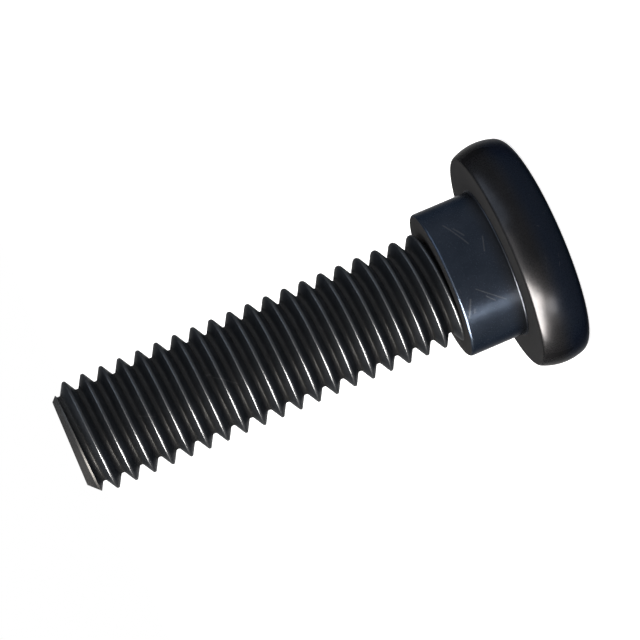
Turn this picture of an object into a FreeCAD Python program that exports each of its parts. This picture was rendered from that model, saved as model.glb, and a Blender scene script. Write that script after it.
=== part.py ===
import FreeCAD, Part
import math
import os

# Shoulder screw with a flat round head, a hexagon socket, a plain shoulder and a metric thread.
# It is one piece of steel. It stands on its head: the origin is the centre of the head's flat
# top, and +Z runs along the axis from the head through the shoulder to the thread's tip.
# All lengths are in millimetres and all angles in degrees.

# Head: flat on top and under, with a side that bulges gently, as cold forging leaves it
head_diameter = 12.1
head_thickness = 2.7
head_side_radius = 2.8
head_widest_height = 1.35
head_top_rounding = 0.7
underhead_rounding = 0.25

# Hexagon socket in the head's flat top
socket_across_flats = 4.0
socket_depth = 2.2
socket_bottom_angle = 120.0
socket_mouth_margin = 0.12
socket_mouth_angle = 90.0

# Shoulder, with the fillet that joins it to the head and the rounding of its free edge
shoulder_diameter = 7.8
shoulder_length = 3.1
shoulder_fillet = 0.2
shoulder_edge_rounding = 0.12

# Metric thread, right-hand, cut at full depth up to the shoulder's face
thread_diameter = 6.0
thread_pitch = 1.0
thread_length = 20.35
thread_flank_angle = 60.0
thread_crest_share = 1 / 8
thread_depth_share = 0.6134
thread_start_angle = 195.5

# Chamfer at the thread's tip
tip_face_diameter = 4.5
tip_chamfer_angle = 45.0

# How many spans make one turn of a helix, and how far cutting solids pass what they cut
spans_per_turn = 40
overrun = 1.0

origin = FreeCAD.Vector(0, 0, 0)
axis = FreeCAD.Vector(0, 0, 1)


def at(radius, height):
    """Point of a turned profile, in the plane of the axis and +X."""
    return FreeCAD.Vector(radius, 0, height)


def line(start, end):
    return Part.LineSegment(start, end).toShape()


def round_edge(radius, height, size, first_angle, last_angle):
    """Arc about a centre in the profile's plane, between two angles counted from +X towards +Z."""
    def on_arc(angle):
        turn = math.radians(angle)
        return at(radius + size * math.cos(turn), height + size * math.sin(turn))

    middle_angle = (first_angle + last_angle) / 2
    return Part.Arc(on_arc(first_angle), on_arc(middle_angle), on_arc(last_angle)).toShape()


def turned(edges):
    """Solid swept by a closed profile that turns about the axis."""
    return Part.Face(Part.Wire(edges)).revolve(origin, axis, 360)


def corner_of_side(size, height):
    """Centre radius of a corner's rounding, and the angle at which it runs into the bulging side."""
    bulge_centre = head_diameter / 2 - head_side_radius
    reach = head_side_radius - size
    angle = math.asin((height - head_widest_height) / reach)
    return bulge_centre + reach * math.cos(angle), math.degrees(angle)


def head_and_shoulder():
    """Turned blank of the head and the shoulder, with all their roundings."""
    bulge_centre = head_diameter / 2 - head_side_radius
    under_height = head_thickness - underhead_rounding
    top_start, top_angle = corner_of_side(head_top_rounding, head_top_rounding)
    under_start, under_angle = corner_of_side(underhead_rounding, under_height)
    shoulder_radius = shoulder_diameter / 2
    shoulder_face = head_thickness + shoulder_length
    fillet_radius = shoulder_radius + shoulder_fillet
    fillet_height = head_thickness + shoulder_fillet
    edge_radius = shoulder_radius - shoulder_edge_rounding
    edge_height = shoulder_face - shoulder_edge_rounding
    return turned([
        line(at(0, 0), at(top_start, 0)),
        round_edge(top_start, head_top_rounding, head_top_rounding, -90, top_angle),
        round_edge(bulge_centre, head_widest_height, head_side_radius, top_angle, under_angle),
        round_edge(under_start, under_height, underhead_rounding, under_angle, 90),
        line(at(under_start, head_thickness), at(fillet_radius, head_thickness)),
        round_edge(fillet_radius, fillet_height, shoulder_fillet, -90, -180),
        line(at(shoulder_radius, fillet_height), at(shoulder_radius, edge_height)),
        round_edge(edge_radius, edge_height, shoulder_edge_rounding, 0, 90),
        line(at(edge_radius, shoulder_face), at(0, shoulder_face)),
        line(at(0, shoulder_face), at(0, 0)),
    ])


def helix_turn(radius, height):
    """One full turn of the thread's helix from the start angle, as a smooth quadratic spline.

    Each pole is where the tangents of two neighbouring joints meet, so the curve touches the
    true helix at every joint and leaves it by less than a tenth of a micrometre between them.
    """
    step = 2 * math.pi / spans_per_turn
    start = math.radians(thread_start_angle)

    def pole(turned_steps, pole_radius):
        angle = start + step * turned_steps
        rise = thread_pitch * turned_steps / spans_per_turn
        return FreeCAD.Vector(pole_radius * math.cos(angle), pole_radius * math.sin(angle), height + rise)

    tangent_radius = radius / math.cos(step / 2)
    poles = [pole(0, radius)]
    poles += [pole(i + 0.5, tangent_radius) for i in range(spans_per_turn)]
    poles.append(pole(spans_per_turn, radius))
    knots = [float(i) for i in range(spans_per_turn + 1)]
    multiplicities = [3] + [1] * (spans_per_turn - 1) + [3]
    curve = Part.BSplineCurve()
    curve.buildFromPolesMultsKnots(poles, multiplicities, knots, False, 2)
    return curve.toShape()


def thread_profile():
    """Corners of one pitch of the thread, as radius and height above the crest's middle."""
    crest_radius = thread_diameter / 2
    root_radius = crest_radius - thread_depth_share * thread_pitch
    half_crest = thread_crest_share * thread_pitch / 2
    flank_run = (crest_radius - root_radius) * math.tan(math.radians(thread_flank_angle / 2))
    return [
        (crest_radius, -half_crest),
        (crest_radius, half_crest),
        (root_radius, half_crest + flank_run),
        (root_radius, thread_pitch - half_crest - flank_run),
        (crest_radius, thread_pitch - half_crest),
    ]


def end_cap(helix, height):
    """Ruled face between one turn of a helix and the axis, which closes an end of the rod."""
    return Part.makeRuledSurface(line(at(0, height), at(0, height + thread_pitch)), helix)


def end_wall(height):
    """Flat face in the plane of the start angle, between the axis and one pitch of the profile."""
    corners = [at(radius, height + rise) for radius, rise in thread_profile()]
    corners = [at(0, corners[0].z)] + corners + [at(0, corners[-1].z)]
    wall = Part.Face(Part.makePolygon(corners + corners[:1]))
    wall.rotate(origin, axis, thread_start_angle)
    return wall


def threaded_rod():
    """Endless thread, longer than the screw's at both ends, with its crest at the start angle
    level with the shoulder's face."""
    shoulder_face = head_thickness + shoulder_length
    buried_turns = 2
    turns = buried_turns + math.ceil(thread_length / thread_pitch) + 2
    first_height = shoulder_face - buried_turns * thread_pitch
    profile = thread_profile()
    lowest = profile[0]
    faces = [
        end_cap(helix_turn(lowest[0], first_height + lowest[1]), first_height + lowest[1]),
        end_wall(first_height),
    ]
    for turn in range(turns):
        height = first_height + turn * thread_pitch
        helices = [helix_turn(radius, height + rise) for radius, rise in profile]
        faces += [Part.makeRuledSurface(low, high) for low, high in zip(helices, helices[1:])]
    last_height = first_height + turns * thread_pitch
    faces.append(end_cap(helix_turn(lowest[0], last_height + lowest[1]), last_height + lowest[1]))
    faces.append(end_wall(last_height - thread_pitch))
    shell = Part.Shell(faces)
    shell.sewShape()
    return Part.Solid(shell)


def tip_cutter():
    """What a turning tool takes off the rod: all past the tip's face and outside its chamfer."""
    tip = head_thickness + shoulder_length + thread_length
    face_radius = tip_face_diameter / 2
    outside = thread_diameter / 2 + overrun
    chamfer_run = (outside - face_radius) / math.tan(math.radians(tip_chamfer_angle))
    beyond = tip + 4 * thread_pitch
    corners = [
        at(0, tip),
        at(face_radius, tip),
        at(outside, tip - chamfer_run),
        at(outside, beyond),
        at(0, beyond),
    ]
    return turned([line(start, end) for start, end in zip(corners, corners[1:] + corners[:1])])


def hexagon_socket():
    """Hexagonal hole with a chamfered mouth and a conical bottom."""
    flat_radius = socket_across_flats / 2
    corner_radius = flat_radius / math.cos(math.radians(30))
    corners = []
    for side in range(7):
        angle = math.radians(60 * side)
        corners.append(FreeCAD.Vector(corner_radius * math.cos(angle), corner_radius * math.sin(angle), -overrun))
    hexagon = Part.Face(Part.makePolygon(corners)).extrude(axis * (overrun + socket_depth))

    bottom_depth = flat_radius / math.tan(math.radians(socket_bottom_angle / 2))
    bottom = Part.makeCone(flat_radius, 0, bottom_depth, FreeCAD.Vector(0, 0, socket_depth))

    mouth_slope = math.tan(math.radians(socket_mouth_angle / 2))
    mouth_radius = corner_radius + socket_mouth_margin
    mouth_height = mouth_radius / mouth_slope
    mouth = Part.makeCone(mouth_radius + overrun * mouth_slope, 0, mouth_height + overrun,
                          FreeCAD.Vector(0, 0, -overrun))
    return hexagon.fuse(bottom).fuse(mouth)


def shoulder_screw():
    thread = threaded_rod().cut(tip_cutter())
    blank = head_and_shoulder().fuse(thread)
    return blank.cut(hexagon_socket()).Solids[0]


os.makedirs("parts", exist_ok=True)
screw = shoulder_screw()
screw.exportStep("parts/shoulder_screw.step")
print("shoulder_screw", "valid" if screw.isValid() else "not valid", round(screw.Volume, 3), "mm3")
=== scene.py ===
import math

import bmesh
import bpy
import numpy as np
from mathutils import Matrix, Vector


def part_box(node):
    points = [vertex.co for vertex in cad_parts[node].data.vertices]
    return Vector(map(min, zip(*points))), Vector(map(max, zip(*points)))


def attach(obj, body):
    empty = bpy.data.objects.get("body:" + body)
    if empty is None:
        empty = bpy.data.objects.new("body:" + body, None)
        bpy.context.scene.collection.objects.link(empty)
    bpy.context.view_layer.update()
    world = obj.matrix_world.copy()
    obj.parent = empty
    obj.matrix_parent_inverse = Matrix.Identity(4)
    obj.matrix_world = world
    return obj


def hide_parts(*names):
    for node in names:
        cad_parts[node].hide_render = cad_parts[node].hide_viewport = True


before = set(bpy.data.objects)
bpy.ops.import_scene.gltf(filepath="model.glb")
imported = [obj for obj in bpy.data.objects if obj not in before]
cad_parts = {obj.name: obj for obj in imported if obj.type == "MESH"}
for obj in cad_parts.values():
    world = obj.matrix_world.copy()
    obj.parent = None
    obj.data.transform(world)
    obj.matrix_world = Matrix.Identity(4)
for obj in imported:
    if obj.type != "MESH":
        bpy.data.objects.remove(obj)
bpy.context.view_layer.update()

# Head: a low round head, flat on top and under, with a hexagon socket in its top.
# It is forged cold from the steel blank, which leaves its side bulging gently and its edges round.
# It is built as rings of points about the screw's axis, in millimetres, from the socket outwards.
mm = 0.001
_, screw_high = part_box("shoulder_screw")
head_radius = screw_high.x / mm
head_thickness = 2.7
head_side_radius = 2.8
head_widest_height = 1.35
head_top_rounding = 0.7
underhead_rounding = 0.25
socket_across_flats = 4.0
socket_depth = 2.2
socket_bottom_angle = math.radians(120)
socket_mouth_margin = 0.12

columns = 180
turns = np.arange(columns) / columns
angles = 2 * math.pi * turns
quarter_turn = math.pi / 2


def ring(radius, height):
    """One closed row of points about the axis; radius and height may change with the angle."""
    radius = np.broadcast_to(radius, columns)
    height = np.broadcast_to(height, columns)
    return np.stack([radius * np.cos(angles), radius * np.sin(angles), height], axis=1)


def arc(radius, height, size, first_angle, last_angle, steps):
    """Points along an arc about a centre, between two angles counted from outwards to upwards."""
    swept = np.linspace(first_angle, last_angle, steps + 1)
    return list(zip(radius + size * np.cos(swept), height + size * np.sin(swept)))


flat_radius = socket_across_flats / 2
hexagon_radius = flat_radius / np.cos(angles % (math.pi / 3) - math.pi / 6)
mouth_radius = hexagon_radius.max() + socket_mouth_margin
cone_depth = flat_radius / math.tan(socket_bottom_angle / 2)
socket_rings = [
    ring(0, socket_depth + cone_depth),
    ring(flat_radius / 2, socket_depth + cone_depth / 2),
    ring(flat_radius, socket_depth),
    ring(hexagon_radius, socket_depth),
    ring(hexagon_radius, mouth_radius - hexagon_radius),
    ring(mouth_radius, 0),
]
bulge_centre = head_radius - head_side_radius


def corner_of_side(size, height):
    """Centre radius of a corner's rounding, and the angle at which it runs into the bulging side."""
    reach = head_side_radius - size
    angle = math.asin((height - head_widest_height) / reach)
    return bulge_centre + reach * math.cos(angle), angle


under_height = head_thickness - underhead_rounding
top_start, top_angle = corner_of_side(head_top_rounding, head_top_rounding)
under_start, under_angle = corner_of_side(underhead_rounding, under_height)
head_outline = arc(top_start, head_top_rounding, head_top_rounding, -quarter_turn, top_angle, steps=10)
head_outline += arc(bulge_centre, head_widest_height, head_side_radius, top_angle, under_angle, steps=14)[1:]
head_outline += arc(under_start, under_height, underhead_rounding, under_angle, quarter_turn, steps=8)[1:]
head_rings = [ring(radius, height) for radius, height in head_outline]

# Black finish: a bath turns the steel's skin into a thin dark oxide, satin and a little blue.
# It is the same on the whole screw. The head, the shoulder and the thread have a material each,
# because the steel below it was worked in different ways and has worn in different places.
oxide_dark = (0.0207, 0.0243, 0.0308)
oxide_light = (0.0255, 0.0293, 0.0365)
oxide_metallic = 0.4
oxide_edge_tint = (0.42, 0.42, 0.42, 1)
grain_roughness = 0.04
bare_steel = (0.20, 0.20, 0.205, 1)
face_starts_under, face_full_under = 0.03, 0.004


def add(tree, kind, inputs, **settings):
    """Adds a node with its settings; each input is a plain value or a socket to link from."""
    node = tree.nodes.new("ShaderNode" + kind)
    for name, value in settings.items():
        setattr(node, name, value)
    for name, value in inputs.items():
        if isinstance(value, bpy.types.NodeSocket):
            tree.links.new(value, node.inputs[name])
        else:
            node.inputs[name].default_value = value
    return node


def maths(tree, operation, *values, clamp=False):
    node = add(tree, "Math", dict(enumerate(values)), operation=operation, use_clamp=clamp)
    return node.outputs[0]


def times(tree, first, second):
    return maths(tree, "MULTIPLY", first, second)


def vectors(tree, operation, *values, output=0, **named_inputs):
    inputs = {**dict(enumerate(values)), **named_inputs}
    return add(tree, "VectorMath", inputs, operation=operation).outputs[output]


def soft_step(tree, value, low, high, at_low, at_high):
    inputs = {"Value": value, "From Min": low, "From Max": high, "To Min": at_low, "To Max": at_high}
    return add(tree, "MapRange", inputs, interpolation_type="SMOOTHSTEP").outputs["Result"]


def above(tree, value, low, high):
    """Mask that is empty where the value is below low and full where it is above high."""
    return soft_step(tree, value, low, high, 0.0, 1.0)


def below(tree, value, low, high):
    """Mask that is full where the value is below low and empty where it is above high."""
    return soft_step(tree, value, low, high, 1.0, 0.0)


def noise(tree, vector, scale, detail, roughness):
    inputs = {"Vector": vector, "Scale": scale, "Detail": detail, "Roughness": roughness}
    return add(tree, "TexNoise", inputs).outputs["Fac"]


def tinted(tree, colour, tint, mask, share=1.0):
    """The colour, with a share of the tint mixed in where the mask is full."""
    inputs = {"Fac": times(tree, mask, share), "Color1": colour, "Color2": tint}
    return add(tree, "MixRGB", inputs).outputs["Color"]


def rougher(tree, rough, mask, by):
    return maths(tree, "ADD", rough, times(tree, mask, by))


def new_group(name, inputs, outputs):
    """Empty shader node group with its named sockets, and its tree, inputs and outputs."""
    tree = bpy.data.node_groups.new(name, "ShaderNodeTree")
    for label, kind in inputs:
        tree.interface.new_socket(label, in_out="INPUT", socket_type="NodeSocket" + kind)
    for label, kind in outputs:
        tree.interface.new_socket(label, in_out="OUTPUT", socket_type="NodeSocket" + kind)
    return tree, tree.nodes.new("NodeGroupInput").outputs, tree.nodes.new("NodeGroupOutput").inputs


# Place on the screw, in millimetres: the height, the distance from the axis, the angle about it from
# -Y towards -X, and a flat map of the surface wrapped about the axis with its seam at the back.
place_outputs = [
    ("Point", "Vector"), ("Wrapped", "Vector"), ("Radius", "Float"), ("Angle", "Float"), ("Height", "Float"),
]
place_tree, _, place_out = new_group("place on the screw", [], place_outputs)
object_point = add(place_tree, "TexCoord", {}).outputs["Object"]
point = vectors(place_tree, "SCALE", object_point, Scale=1 / mm)
split = add(place_tree, "SeparateXYZ", {"Vector": point}).outputs
left = times(place_tree, split["X"], -1.0)
front = times(place_tree, split["Y"], -1.0)
squares = maths(place_tree, "ADD", times(place_tree, left, left), times(place_tree, front, front))
off_axis = maths(place_tree, "SQRT", squares)
about_axis = maths(place_tree, "ARCTAN2", left, front)
wrapped_inputs = {"X": times(place_tree, about_axis, off_axis), "Y": split["Z"]}
place_tree.links.new(point, place_out["Point"])
place_tree.links.new(add(place_tree, "CombineXYZ", wrapped_inputs).outputs[0], place_out["Wrapped"])
place_tree.links.new(off_axis, place_out["Radius"])
place_tree.links.new(about_axis, place_out["Angle"])
place_tree.links.new(split["Z"], place_out["Height"])

# Oxide: soft patches where the bath took differently, and a fine grain.
oxide_outputs = [("Patches", "Float"), ("Grain", "Float")]
oxide_tree, oxide_in, oxide_out = new_group("oxide", [("Point", "Vector")], oxide_outputs)
patches = noise(oxide_tree, oxide_in["Point"], scale=0.9, detail=3.0, roughness=0.6)
grain = noise(oxide_tree, oxide_in["Point"], scale=14.0, detail=3.0, roughness=0.65)
oxide_tree.links.new(above(oxide_tree, patches, 0.3, 0.7), oxide_out["Patches"])
oxide_tree.links.new(grain, oxide_out["Grain"])

# Tool marks: fine rings that a lathe or a die leaves, side by side along a round face and inside
# each other on a flat one. Each ring changes slowly along its length.
change_along_ring = 0.12
rings_inputs = [("Point", "Vector"), ("Radius", "Float"), ("Height", "Float"), ("Spacing", "Float")]
rings_tree, rings_in, rings_out = new_group("tool rings", rings_inputs, [("Rings", "Float")])
along_profile = maths(rings_tree, "SUBTRACT", rings_in["Radius"], rings_in["Height"])
ring_count = maths(rings_tree, "DIVIDE", along_profile, rings_in["Spacing"])
across_rings = add(rings_tree, "CombineXYZ", {"Z": ring_count}).outputs[0]
along_rings = vectors(rings_tree, "MULTIPLY", rings_in["Point"], (change_along_ring, change_along_ring, 0.0))
ring_place = vectors(rings_tree, "ADD", along_rings, across_rings)
ring_height = noise(rings_tree, ring_place, scale=1.0, detail=2.0, roughness=0.6)
rings_tree.links.new(ring_height, rings_out["Rings"])

# Hairlines: fine scratches from handling, all in one direction. They are the places where a noise
# stretched along that direction crosses its middle value, kept only where a second noise and the
# wanted share add up to one.
hairline_stretch = (0.35, 5.0, 0.35)
hairline_width = 0.012
hair_inputs = [("Point", "Vector"), ("Turn", "Vector"), ("Share", "Float")]
hair_tree, hair_in, hair_out = new_group("hairlines", hair_inputs, [("Mask", "Float")])
rotation = {"Vector": hair_in["Point"], "Rotation": hair_in["Turn"]}
turned = add(hair_tree, "VectorRotate", rotation, rotation_type="EULER_XYZ").outputs[0]
stretched = vectors(hair_tree, "MULTIPLY", turned, hairline_stretch)
wandering = noise(hair_tree, stretched, scale=1.0, detail=0.0, roughness=0.5)
off_line = maths(hair_tree, "ABSOLUTE", maths(hair_tree, "SUBTRACT", wandering, 0.5))
line = below(hair_tree, off_line, 0.0, hairline_width)
moved = vectors(hair_tree, "ADD", hair_in["Point"], hair_in["Turn"])
pieces = noise(hair_tree, moved, scale=1.7, detail=2.0, roughness=0.6)
kept = above(hair_tree, maths(hair_tree, "ADD", pieces, hair_in["Share"]), 1.0, 1.08)
hair_tree.links.new(times(hair_tree, line, kept), hair_out["Mask"])

finishes = []


def blackened(name, roughness, shade):
    """Material of the black finish, with the nodes that its marks build on."""
    material = bpy.data.materials.new(name)
    material.use_nodes = True
    finishes.append(material)
    tree = material.node_tree
    shader = tree.nodes["Principled BSDF"].inputs
    shader["Specular IOR Level"].default_value = 0
    shader["Specular Tint"].default_value = oxide_edge_tint
    place = add(tree, "Group", {}, node_tree=place_tree).outputs
    oxide = add(tree, "Group", {"Point": place["Point"]}, node_tree=oxide_tree).outputs
    dark = [part * tone for part, tone in zip(oxide_dark, shade)] + [1]
    light = [part * tone for part, tone in zip(oxide_light, shade)] + [1]
    colour = tinted(tree, dark, light, oxide["Patches"])
    uneven = soft_step(tree, oxide["Grain"], 0.2, 0.8, at_low=-grain_roughness, at_high=grain_roughness)
    rough = maths(tree, "ADD", roughness, uneven)
    return tree, shader, place, oxide, colour, rough


def tool_rings(tree, place, spacing):
    inputs = {label: place[label] for label in ("Point", "Radius", "Height")}
    inputs["Spacing"] = spacing
    return add(tree, "Group", inputs, node_tree=rings_tree).outputs[0]


def hairlines(tree, place, field_turns, share):
    """Fields of hairlines laid over each other, each turned its own way."""
    total = 0.0
    for turn in field_turns:
        inputs = {"Point": place["Point"], "Turn": turn, "Share": share}
        field = add(tree, "Group", inputs, node_tree=hair_tree).outputs[0]
        total = maths(tree, "MAXIMUM", total, field)
    return total


def flat_face(tree, place, height):
    """Mask of the flat face at a height, and of the last of the rounding that runs into it."""
    return above(tree, place["Height"], height - face_starts_under, height - face_full_under)


def finish(tree, shader, colour, rough, dull, height, depth):
    """Links the colour, the roughness, how dull the metal is, and the height of the fine marks.

    The depth of the marks is in millimetres."""
    metallic = times(tree, maths(tree, "SUBTRACT", 1.0, dull), oxide_metallic)
    bump = add(tree, "Bump", {"Height": height, "Distance": depth * mm, "Strength": 1.0})
    tree.links.new(colour, shader["Base Color"])
    tree.links.new(rough, shader["Roughness"])
    tree.links.new(metallic, shader["Metallic"])
    tree.links.new(bump.outputs["Normal"], shader["Normal"])


# The head's surface: smooth from the die, rougher and darker inside the punched socket, with a painted
# bluish reflection towards its top edge, and dull grey on the flat that bears on the work.
socket_side, socket_rim = 2.30, 2.40
socket_black = (0.012, 0.013, 0.015, 1)
reflection_fullest_below, reflection_up_to = 0.9, 1.9
painted_blue_reflection = (0.0056, 0.0084, 0.0148, 1)
bearing_grey = (0.045, 0.045, 0.046, 1)
face_roughness = 0.15
face_dullness = 0.85
tree, shader, place, oxide, colour, rough = blackened("head", roughness=0.28, shade=(0.42, 0.37, 0.33))
in_socket = below(tree, place["Radius"], socket_side, socket_rim)
blue_reflection_near_top = below(tree, place["Height"], reflection_fullest_below, reflection_up_to)
bearing = flat_face(tree, place, head_thickness)
hairs = hairlines(tree, place, [(0.3, 0.9, 0.2), (1.2, 0.1, 1.9)], share=0.36)
colour = tinted(tree, colour, socket_black, in_socket, share=0.35)
# Painted reflection: the side is tinted bluer towards the top edge, for a bluish surrounding seen in its
# gloss.
colour = tinted(tree, colour, painted_blue_reflection, blue_reflection_near_top, share=0.8)
colour = tinted(tree, colour, bearing_grey, bearing, share=0.5)
colour = tinted(tree, colour, bare_steel, hairs, share=0.12)
rough = rougher(tree, rough, in_socket, by=0.15)
rough = rougher(tree, rough, bearing, by=face_roughness)
dull = times(tree, bearing, face_dullness)
rings = tool_rings(tree, place, spacing=0.09)
height = maths(tree, "ADD", times(tree, rings, 0.5), times(tree, oxide["Grain"], 0.5))
finish(tree, shader, colour, rough, dull, height, depth=0.002)

# Shoulder: the plain round seat between head and thread, on which a lever or bushing turns.
# It is turned and ground to size, with a small fillet under the head and a broken free edge.
shoulder_radius = 3.9
shoulder_length = 3.1
shoulder_fillet = 0.1
shoulder_edge_rounding = 0.16
shoulder_face = head_thickness + shoulder_length


def rounded(corners, steps):
    """Outline through (radius, height, rounding) corners, each rounded by an arc of a few steps.

    The first and the last corner only say where the outline comes from and goes to."""
    points = []
    for before, corner, after in zip(corners, corners[1:], corners[2:]):
        here = np.array(corner[:2])
        back = np.array(before[:2]) - here
        ahead = np.array(after[:2]) - here
        back = back / np.linalg.norm(back)
        ahead = ahead / np.linalg.norm(ahead)
        half = math.acos(np.clip(back @ ahead, -1, 1)) / 2
        size = corner[2]
        if size == 0:
            points.append(here)
            continue
        middle = here + (back + ahead) / np.linalg.norm(back + ahead) * size / math.sin(half)
        start = here + back * size / math.tan(half) - middle
        end = here + ahead * size / math.tan(half) - middle
        sweep = math.pi - 2 * half
        for step in range(steps + 1):
            share = step / steps
            along_arc = math.sin((1 - share) * sweep) * start + math.sin(share * sweep) * end
            points.append(middle + along_arc / math.sin(sweep))
    return points


shoulder_corners = [
    (head_radius, head_thickness, 0),
    (shoulder_radius, head_thickness, shoulder_fillet),
    (shoulder_radius, shoulder_face, shoulder_edge_rounding),
    (0, shoulder_face, 0),
]
shoulder_rings = [ring(radius, height) for radius, height in rounded(shoulder_corners, steps=7)]

# One scratch: a straight mark between two places on the wrapped map, fading out at its sides.
scratch_inputs = [("Place", "Vector"), ("Start", "Vector"), ("End", "Vector"), ("Width", "Float")]
scratch_tree, scratch_in, scratch_out = new_group("scratch", scratch_inputs, [("Mask", "Float")])
run = vectors(scratch_tree, "SUBTRACT", scratch_in["End"], scratch_in["Start"])
from_start = vectors(scratch_tree, "SUBTRACT", scratch_in["Place"], scratch_in["Start"])
passed = vectors(scratch_tree, "DOT_PRODUCT", from_start, run, output="Value")
whole = vectors(scratch_tree, "DOT_PRODUCT", run, run, output="Value")
share = maths(scratch_tree, "DIVIDE", passed, whole, clamp=True)
nearest = vectors(scratch_tree, "SCALE", run, Scale=share)
gap = vectors(scratch_tree, "DISTANCE", from_start, nearest, output="Value")
relative = maths(scratch_tree, "DIVIDE", gap, scratch_in["Width"])
scratch_tree.links.new(below(scratch_tree, relative, 0.0, 1.0), scratch_out["Mask"])


def scratched(tree, place, hairs, start, end, width):
    """The hairlines with one scratch more, from start to end on the wrapped map."""
    inputs = {"Place": place["Wrapped"], "Start": (*start, 0), "End": (*end, 0), "Width": width}
    return maths(tree, "MAXIMUM", hairs, add(tree, "Group", inputs, node_tree=scratch_tree).outputs[0])


# The shoulder's surface: fine rings from grinding and a few scratches. It has painted shade near the head,
# and is dull in the fillet and on its free face. A scratch is given as the angle and the height where
# it starts, the angle and the height where it ends, and its width.
shoulder_scratches = [
    (-44.5, 4.88, -21.3, 4.19, 0.06),
    (-37.8, 4.52, -28.9, 4.20, 0.06),
    (-22.3, 3.39, -11.5, 3.62, 0.06),
    (17.7, 5.20, 30.6, 5.57, 0.08),
    (12.0, 4.76, 28.4, 3.49, 0.05),
    (19.8, 4.40, 25.5, 4.05, 0.05),
]
shade_fullest_below, shade_up_to = head_thickness + 0.1, head_thickness + 0.9
painted_shade_near_head = (0.0135, 0.012, 0.0105, 1)
free_face_grey = (0.03, 0.03, 0.031, 1)
fillet_below, fillet_up_to = head_thickness + 0.04, head_thickness + 0.14
fillet_dullness = 0.4
scratch_depth_share = 0.8
tree, shader, place, oxide, colour, rough = blackened("shoulder", roughness=0.25, shade=(0.61, 0.69, 0.80))
shade_near_head = below(tree, place["Height"], shade_fullest_below, shade_up_to)
in_fillet = below(tree, place["Height"], fillet_below, fillet_up_to)
free_face = flat_face(tree, place, shoulder_face)
hairs = hairlines(tree, place, [(0.5, 0.2, 0.4), (1.0, 0.7, 0.1)], share=0.38)
for first_angle, first_height, last_angle, last_height, width in shoulder_scratches:
    start = (math.radians(first_angle) * shoulder_radius, first_height)
    end = (math.radians(last_angle) * shoulder_radius, last_height)
    hairs = scratched(tree, place, hairs, start, end, width)
# Painted shade: the shoulder is darkened and warmed where it meets the head.
colour = tinted(tree, colour, painted_shade_near_head, shade_near_head, share=0.45)
colour = tinted(tree, colour, free_face_grey, free_face)
colour = tinted(tree, colour, bare_steel, hairs, share=0.1)
rough = rougher(tree, rough, free_face, by=face_roughness)
dull = maths(tree, "MAXIMUM", times(tree, in_fillet, fillet_dullness), times(tree, free_face, face_dullness))
rings = tool_rings(tree, place, spacing=0.035)
height = maths(tree, "SUBTRACT", rings, times(tree, hairs, scratch_depth_share))
finish(tree, shader, colour, rough, dull, height, depth=0.0015)

# Thread: M6 with a pitch of 1 mm, right-hand, rolled into the blank up to the shoulder's face.
# Rolling leaves rounded roots and softly rounded crests; the tip is chamfered first.
thread_radius = 3.0
pitch = 1.0
thread_depth_share = 0.6134
crest_share = 1 / 8
half_flank_angle = math.radians(30)
crest_rounding = 0.08
root_rounding = 0.09
crest_at_face = math.radians(195.5)
tip = screw_high.z / mm
tip_face_radius = 2.25

root_radius = thread_radius - thread_depth_share * pitch
mid_radius = (thread_radius + root_radius) / 2
half_crest = crest_share * pitch / 2
flank_run = (thread_radius - root_radius) * math.tan(half_flank_angle)

# One pitch of the outline, with a row halfway along each flank
pitch_corners = [
    (root_radius, half_crest + flank_run - pitch, 0),
    (mid_radius, -half_crest - flank_run / 2, 0),
    (thread_radius, -half_crest, crest_rounding),
    (thread_radius, half_crest, crest_rounding),
    (mid_radius, half_crest + flank_run / 2, 0),
    (root_radius, half_crest + flank_run, root_rounding),
    (root_radius, pitch - half_crest - flank_run, root_rounding),
    (mid_radius, pitch - half_crest - flank_run / 2, 0),
]
pitch_rows = np.array(rounded(pitch_corners, steps=3))
buried_turns = 2
spare_turns = 2
first_crest = shoulder_face - crest_at_face / (2 * math.pi) * pitch - buried_turns * pitch
thread_turns = math.ceil((tip - first_crest) / pitch) + spare_turns
row_radius = np.tile(pitch_rows[:, 0], thread_turns)
row_rise = np.concatenate([pitch_rows[:, 1] + turn * pitch for turn in range(thread_turns)])


def cut_column(rise):
    """Radius and height of the thread's rows at one angle, cut by the face and the tip's chamfer."""
    height = row_rise + rise
    radius = row_radius.copy()
    over = radius - (tip_face_radius + tip - height)
    for low in np.nonzero(over[:-1] * over[1:] < 0)[0]:
        share = over[low] / (over[low] - over[low + 1])
        nearest = low if share < 0.5 else low + 1
        height[nearest], radius[nearest] = (
            height[low] + share * (height[low + 1] - height[low]),
            radius[low] + share * (radius[low + 1] - radius[low]),
        )
    radius = np.minimum(radius, tip_face_radius + tip - height)
    at_face = np.interp(shoulder_face, height, radius)
    radius = np.where(height < shoulder_face, at_face, radius)
    radius = np.where(height > tip, tip_face_radius, radius)
    return radius, np.clip(height, shoulder_face, tip)


thread_columns = [cut_column(first_crest + turn * pitch) for turn in turns]
thread_rows = [
    ring([radius[row] for radius, _ in thread_columns], [height[row] for _, height in thread_columns])
    for row in range(len(row_radius))
]

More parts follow.
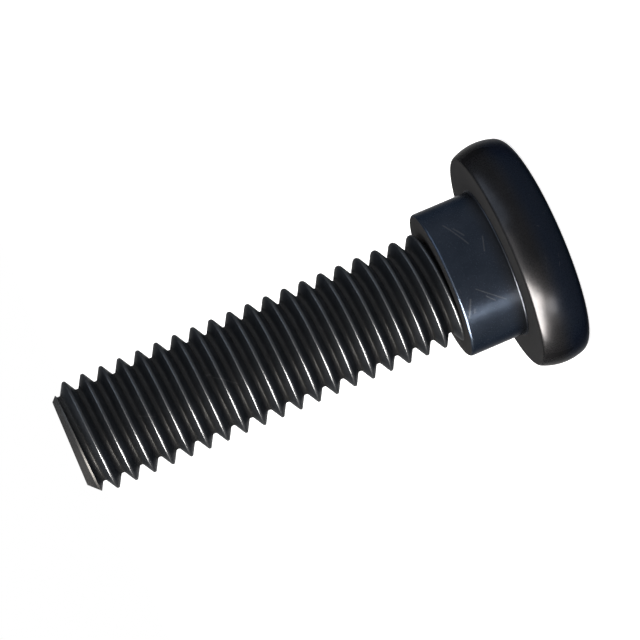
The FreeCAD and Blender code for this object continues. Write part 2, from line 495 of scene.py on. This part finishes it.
# The thread's surface: burnished by the rolling dies, with crests rubbed brighter where they have
# touched things, dull roots with a painted lighter sheen in them, and a dull turned tip. A scratch is given
# by two places on the wrapped map, which is a distance round and a height for each.
crest_top, crest_foot = thread_radius - 0.005, thread_radius - 0.05
root_floor, root_brim = root_radius + 0.06, root_radius + 0.16
painted_root_sheen = (0.04, 0.039, 0.038, 1)
cut_grey = (0.034, 0.0345, 0.036, 1)
thread_scratches = [((0.05, 22.53), (0.44, 21.73)), ((-0.25, 18.36), (0.5, 17.36))]
thread_scratch_width = 0.04
root_dullness = 0.8
cut_dullness = 0.95
rubbed_drop = 38.0
tree, shader, place, oxide, colour, rough = blackened("thread", roughness=0.31, shade=(0.65, 0.63, 0.60))
in_root = below(tree, place["Radius"], root_floor, root_brim)
crest = above(tree, place["Radius"], crest_foot, crest_top)
crest_wear = times(tree, crest, soft_step(tree, oxide["Grain"], 0.3, 0.7, at_low=0.6, at_high=1.0))

# The cut tip: its face, and its chamfer, where radius and height add up to the same sum all over.
chamfer_sum = tip_face_radius + tip
cut_margin = 0.01
radius_and_height = maths(tree, "ADD", place["Radius"], place["Height"])
chamfer = above(tree, radius_and_height, chamfer_sum - 3 * cut_margin, chamfer_sum - cut_margin)
tip_face = above(tree, place["Height"], tip - cut_margin, tip - cut_margin / 2)
cut = maths(tree, "MAXIMUM", chamfer, tip_face)

# The chamfer's edges with the flanks are rubbed round and shinier. How far a place on the chamfer
# lies inside the thread's ridge follows from its height above or below the crest's helix.
rubbed_width = 0.18
shiny_up_to, dull_from = 0.1, 0.2
helix_turn = maths(tree, "ADD", place["Angle"], math.pi / 2 + crest_at_face)
above_face = maths(tree, "SUBTRACT", place["Height"], shoulder_face)
above_helix = maths(tree, "ADD", above_face, times(tree, helix_turn, pitch / (2 * math.pi)))
off_crest = maths(tree, "ABSOLUTE", maths(tree, "WRAP", above_helix, pitch / 2, -pitch / 2))
sharp_crest_radius = thread_radius + half_crest / math.tan(half_flank_angle)
under_sharp_crest = maths(tree, "SUBTRACT", sharp_crest_radius, place["Radius"])
half_ridge = times(tree, under_sharp_crest, math.tan(half_flank_angle))
inside_ridge = maths(tree, "SUBTRACT", half_ridge, off_crest)
rubbed = times(tree, chamfer, below(tree, inside_ridge, 0.0, rubbed_width))
off_edge = soft_step(tree, inside_ridge, shiny_up_to, dull_from, at_low=0.72, at_high=1.0)
cut_dull = times(tree, cut, off_edge)

hairs = hairlines(tree, place, [(0.2, 0.3, 0.8), (1.3, 0.4, 0.2)], share=0.42)
for start, end in thread_scratches:
    hairs = scratched(tree, place, hairs, start, end, thread_scratch_width)
colour = tinted(tree, colour, bare_steel, crest_wear, share=0.07)
# Painted sheen: the dull roots are tinted lighter, for the sheen along their rounding.
colour = tinted(tree, colour, painted_root_sheen, in_root, share=0.4)
colour = tinted(tree, colour, cut_grey, cut)
colour = tinted(tree, colour, bare_steel, hairs, share=0.1)
rough = rougher(tree, rough, in_root, by=0.15)
rough = rougher(tree, rough, cut_dull, by=0.2)
dull = maths(tree, "MAXIMUM", times(tree, in_root, root_dullness), times(tree, cut_dull, cut_dullness))
height = maths(tree, "SUBTRACT", oxide["Grain"], times(tree, rubbed, rubbed_drop))
finish(tree, shader, colour, rough, dull, height, depth=0.0015)

# The screw: head, shoulder and thread are one piece of steel, so they become one closed mesh.
# The thread's rows climb one pitch a turn, so each joins the row one pitch further on at the seam.
same_place = 0.0002 * mm
no_length = 0.0001 * mm
sharp_edge_angle = math.radians(32)
head_finish, shoulder_finish, thread_finish = range(len(finishes))
body = bmesh.new()


def join_rows(rows, material, climb=0):
    """Quads between rows of points; climb is how many rows each one rises in a full turn."""
    grid = [[body.verts.new(Vector(point) * mm) for point in row] for row in rows]
    for low in range(len(grid) - 1):
        for column in range(columns):
            across = (column + 1) % columns
            lift = climb if across == 0 else 0
            if low + 1 + lift < len(grid):
                face = body.faces.new([
                    grid[low][column],
                    grid[low + lift][across],
                    grid[low + 1 + lift][across],
                    grid[low + 1][column],
                ])
                face.material_index = material
                face.smooth = True


join_rows(socket_rings + head_rings + shoulder_rings[:1], head_finish)
join_rows(shoulder_rings + [thread_rows[0]], shoulder_finish)
join_rows(thread_rows, thread_finish, climb=len(pitch_rows))
join_rows([thread_rows[-1], ring(0, tip)], thread_finish)
bmesh.ops.remove_doubles(body, verts=body.verts, dist=same_place)
bmesh.ops.dissolve_degenerate(body, edges=body.edges, dist=no_length)
bmesh.ops.recalc_face_normals(body, faces=body.faces)
screw_mesh = bpy.data.meshes.new("screw")
for material in finishes:
    screw_mesh.materials.append(material)
body.to_mesh(screw_mesh)
body.free()
screw_mesh.set_sharp_from_angle(angle=sharp_edge_angle)
screw = bpy.data.objects.new("screw", screw_mesh)
bpy.context.scene.collection.objects.link(screw)
normals = screw.modifiers.new("even shading", "WEIGHTED_NORMAL")
normals.keep_sharp = True

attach(screw, "root")
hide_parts("shoulder_screw")

# Floor: a plain white sheet that the screw stands on, head down. It and the studio's walls show
# white to the camera and in the gloss, while the light they throw on the screw is a plain level.
floor_reach = 6.0
paper_grey = 0.8
paper_glow = 0.87
wall_light = 0.7
floor_mesh = bpy.data.meshes.new("floor")
floor_corners = [(x * floor_reach, y * floor_reach, 0) for x, y in [(-1, -1), (1, -1), (1, 1), (-1, 1)]]
floor_mesh.from_pydata(floor_corners, [], [(0, 1, 2, 3)])
floor = bpy.data.objects.new("floor", floor_mesh)
bpy.context.scene.collection.objects.link(floor)


def white_when_seen(tree, socket, seen_strength, other_strength):
    """Feeds a strength: one value for rays from the camera, gloss and glass, another for the rest."""
    path = add(tree, "LightPath", {}).outputs
    seen = maths(tree, "MAXIMUM", path["Is Camera Ray"], path["Is Glossy Ray"])
    seen = maths(tree, "MAXIMUM", seen, path["Is Transmission Ray"])
    strength = add(tree, "MapRange", {"Value": seen, "To Min": other_strength, "To Max": seen_strength})
    tree.links.new(strength.outputs["Result"], socket)


paper = bpy.data.materials.new("white paper")
paper.use_nodes = True
paper_shader = paper.node_tree.nodes["Principled BSDF"].inputs
paper_shader["Base Color"].default_value = (paper_grey, paper_grey, paper_grey, 1)
paper_shader["Roughness"].default_value = 1
paper_shader["Specular IOR Level"].default_value = 0
paper_shader["Emission Color"].default_value = (1, 1, 1, 1)
white_when_seen(paper.node_tree, paper_shader["Emission Strength"], paper_glow, 0)
floor_mesh.materials.append(paper)

world = bpy.data.worlds.new("studio")
bpy.context.scene.world = world
world.use_nodes = True
background = world.node_tree.nodes["Background"].inputs
background["Color"].default_value = (1, 1, 1, 1)
white_when_seen(world.node_tree, background["Strength"], 1.0, wall_light)

# Lamps: soft boxes round the screw, all at one distance. Most show only as gloss on the steel.
# Their sizes and places are in metres.
lamp_distance = 0.4
lamp_aim = Vector((0, 0, 0.01))


def toward(azimuth, elevation):
    """Direction from the screw: azimuth from the camera's side (-Y) towards -X, both in degrees."""
    around = math.radians(azimuth)
    up = math.radians(elevation)
    return Vector((-math.sin(around) * math.cos(up), -math.cos(around) * math.cos(up), math.sin(up)))


def softbox(name, azimuth, elevation, width, height, radiance, colour, gloss_only=True):
    """Flat lamp that faces the screw; its power follows from its size and its radiance."""
    lamp = bpy.data.lights.new(name, "AREA")
    lamp.shape = "RECTANGLE"
    lamp.size = width
    lamp.size_y = height
    lamp.color = colour
    lamp.energy = radiance * math.pi * width * height
    box = bpy.data.objects.new(name, lamp)
    direction = toward(azimuth, elevation)
    box.location = lamp_aim + direction * lamp_distance
    box.rotation_mode = "QUATERNION"
    box.rotation_quaternion = direction.to_track_quat("Z", "Y")
    box.visible_diffuse = not gloss_only
    box.visible_camera = False
    bpy.context.scene.collection.objects.link(box)


softbox("key", azimuth=75, elevation=39, width=0.4, height=0.24, radiance=320, colour=(1, 0.92, 0.8))
softbox("strip", azimuth=61, elevation=1, width=0.1, height=0.18, radiance=88, colour=(1, 0.94, 0.86))
softbox("front", azimuth=8, elevation=48, width=0.36, height=0.2, radiance=14, colour=(1, 0.93, 0.84))
softbox("fill", azimuth=-70, elevation=40, width=0.46, height=0.26, radiance=9, colour=(0.8, 0.9, 1))
softbox("overhead", azimuth=0, elevation=89, width=0.3, height=0.3, radiance=4, colour=(1, 0.97, 0.93),
        gloss_only=False)

# Camera: on the screw's -Y side, tilted slightly down, and rolled so that the head lies to the
# upper right. Its place is counted from the middle of the shoulder's face: how far the picture's
# middle lies from it along and across the axis, and how far away the camera stands. Lengths are in
# millimetres and angles in radians.
sensor_width = 36
focal_length = 154.9
nearest_seen = 5
tilt = 0.0995
roll = math.radians(23.01)
along_axis, across_axis, away = 6.289, 0.803, 140
camera_data = bpy.data.cameras.new("camera")
camera_data.sensor_width = sensor_width
camera_data.lens = focal_length
camera_data.clip_start = nearest_seen * mm
camera = bpy.data.objects.new("camera", camera_data)
bpy.context.scene.collection.objects.link(camera)
bpy.context.scene.camera = camera
along = Vector((0, -math.sin(tilt), -math.cos(tilt)))
across = Vector((-1, 0, 0))
forward = Vector((0, math.cos(tilt), -math.sin(tilt)))
right = along * math.cos(roll) + across * math.sin(roll)
down = along * -math.sin(roll) + across * math.cos(roll)
camera_place = Vector((0, 0, shoulder_face)) - (along * along_axis + across * across_axis + forward * away)
camera_turn = Matrix((right, -down, -forward)).transposed().to_quaternion()
camera.matrix_world = Matrix.LocRotScale(camera_place * mm, camera_turn, None)

bpy.context.scene.view_settings.view_transform = "Standard"
